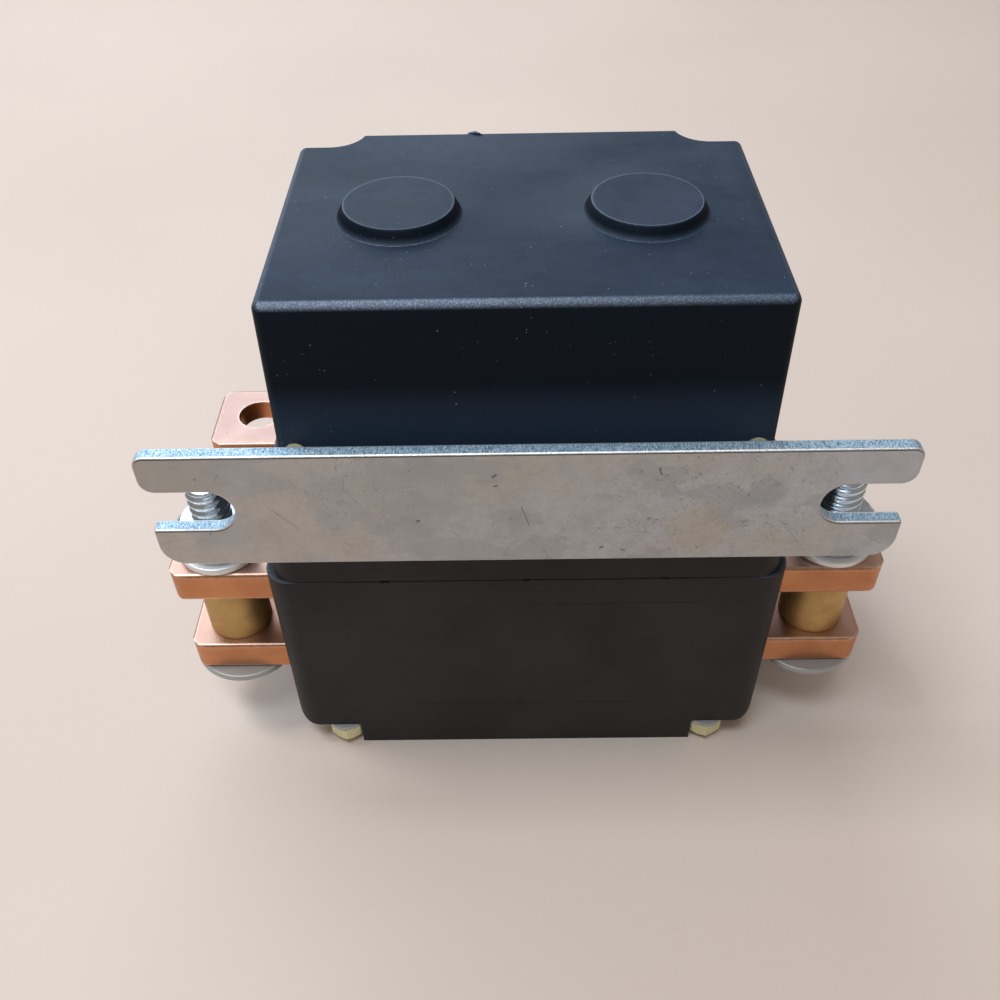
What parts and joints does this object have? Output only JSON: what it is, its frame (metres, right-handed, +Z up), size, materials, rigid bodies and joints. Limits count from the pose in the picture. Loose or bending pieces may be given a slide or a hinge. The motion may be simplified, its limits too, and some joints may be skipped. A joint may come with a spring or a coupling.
{
  "type": "winch contactor",
  "caption": "Moulded reversing contactor with raised discs on its cover, a slotted flange plate and paired copper bars on each side.",
  "frame": {"origin": "centre of the foot's underside", "axes": "+X to the right along the bracket, -Y out of the bracket's front face, +Z up through the cover"},
  "size_m": [0.1482, 0.081, 0.115],
  "materials": {
    "housing_moulding": "satin thermoset moulding, dusty",
    "cover_moulding": "satin thermoset moulding, dusty",
    "bracket_zinc": "dull zinc plate with black specks",
    "zinc_plate": "zinc plate",
    "yellow_zinc": "yellow passivated zinc",
    "spring_steel": "bare spring steel",
    "soft_iron": "turned soft iron",
    "copper_bar": "sheared copper bar, lightly tarnished",
    "brass_parts": "turned and rolled brass",
    "silver_tips": "silver alloy contact tips",
    "nylon": "natural glass-filled nylon",
    "enamel_wire": "enamelled copper wire"
  },
  "bodies": {
    "housing": {"lower_housing": "housing_moulding", "middle_housing": "housing_moulding", "top_cover": "cover_moulding", "mounting_bracket": "bracket_zinc", "bracket_studs": "zinc_plate", "bracket_nuts": "zinc_plate", "tie_screws": "yellow_zinc", "tie_washers": "zinc_plate", "tie_nuts": "yellow_zinc", "left_upper_bar": "copper_bar", "left_lower_bar": "copper_bar", "right_upper_bar": "copper_bar", "right_lower_bar": "copper_bar", "left_spacer": "brass_parts", "right_spacer": "brass_parts", "left_terminal_bolt": "zinc_plate", "right_terminal_bolt": "zinc_plate", "terminal_washers": "zinc_plate", "terminal_lock_washers": "spring_steel", "terminal_nuts": "zinc_plate", "supply_bar": "copper_bar", "common_bar": "copper_bar", "supply_contact_blocks": "copper_bar", "common_contact_blocks": "copper_bar", "upper_fixed_tips": "silver_tips", "lower_fixed_tips": "silver_tips", "left_yoke": "zinc_plate", "right_yoke": "zinc_plate", "left_yoke_plate": "zinc_plate", "right_yoke_plate": "zinc_plate", "left_bobbin": "nylon", "right_bobbin": "nylon", "left_winding": "enamel_wire", "right_winding": "enamel_wire", "left_guide_tube": "brass_parts", "right_guide_tube": "brass_parts", "left_fixed_core": "soft_iron", "right_fixed_core": "soft_iron", "left_return_spring": "spring_steel", "right_return_spring": "spring_steel", "coil_tabs": "brass_parts", "coil_leads": "enamel_wire"},
    "left_armature": {"left_plunger": "soft_iron", "left_push_rod": "zinc_plate", "left_rod_clip": "spring_steel", "left_upper_spring": "spring_steel", "left_lower_spring": "spring_steel"},
    "left_contact": {"left_bridge": "copper_bar", "left_bridge_tips": "silver_tips", "left_bridge_bush": "nylon"},
    "right_armature": {"right_plunger": "soft_iron", "right_push_rod": "zinc_plate", "right_rod_clip": "spring_steel", "right_upper_spring": "spring_steel", "right_lower_spring": "spring_steel"},
    "right_contact": {"right_bridge": "copper_bar", "right_bridge_tips": "silver_tips", "right_bridge_bush": "nylon"}
  },
  "joints": [
    {"name": "left_plunger_slide", "type": "slide", "parent": "housing", "child": "left_armature", "axis": [0, 0, 1], "range_m": [0, 0.005], "stiffness_N_per_m": 1000, "springref_m": -0.006, "deforming": ["left_return_spring", "left_upper_spring", "left_lower_spring"]},
    {"name": "left_bridge_slide", "type": "slide", "parent": "housing", "child": "left_contact", "axis": [0, 0, 1], "range_m": [0, 0.0041]},
    {"name": "right_plunger_slide", "type": "slide", "parent": "housing", "child": "right_armature", "axis": [0, 0, 1], "range_m": [0, 0.005], "stiffness_N_per_m": 1000, "springref_m": -0.006, "deforming": ["right_return_spring", "right_upper_spring", "right_lower_spring"]},
    {"name": "right_bridge_slide", "type": "slide", "parent": "housing", "child": "right_contact", "axis": [0, 0, 1], "range_m": [0, 0.0041]}
  ],
  "couplings": [
    {"joint": "left_bridge_slide", "follows": "left_plunger_slide", "ratio": 0.82},
    {"joint": "right_bridge_slide", "follows": "right_plunger_slide", "ratio": 0.82}
  ]
}
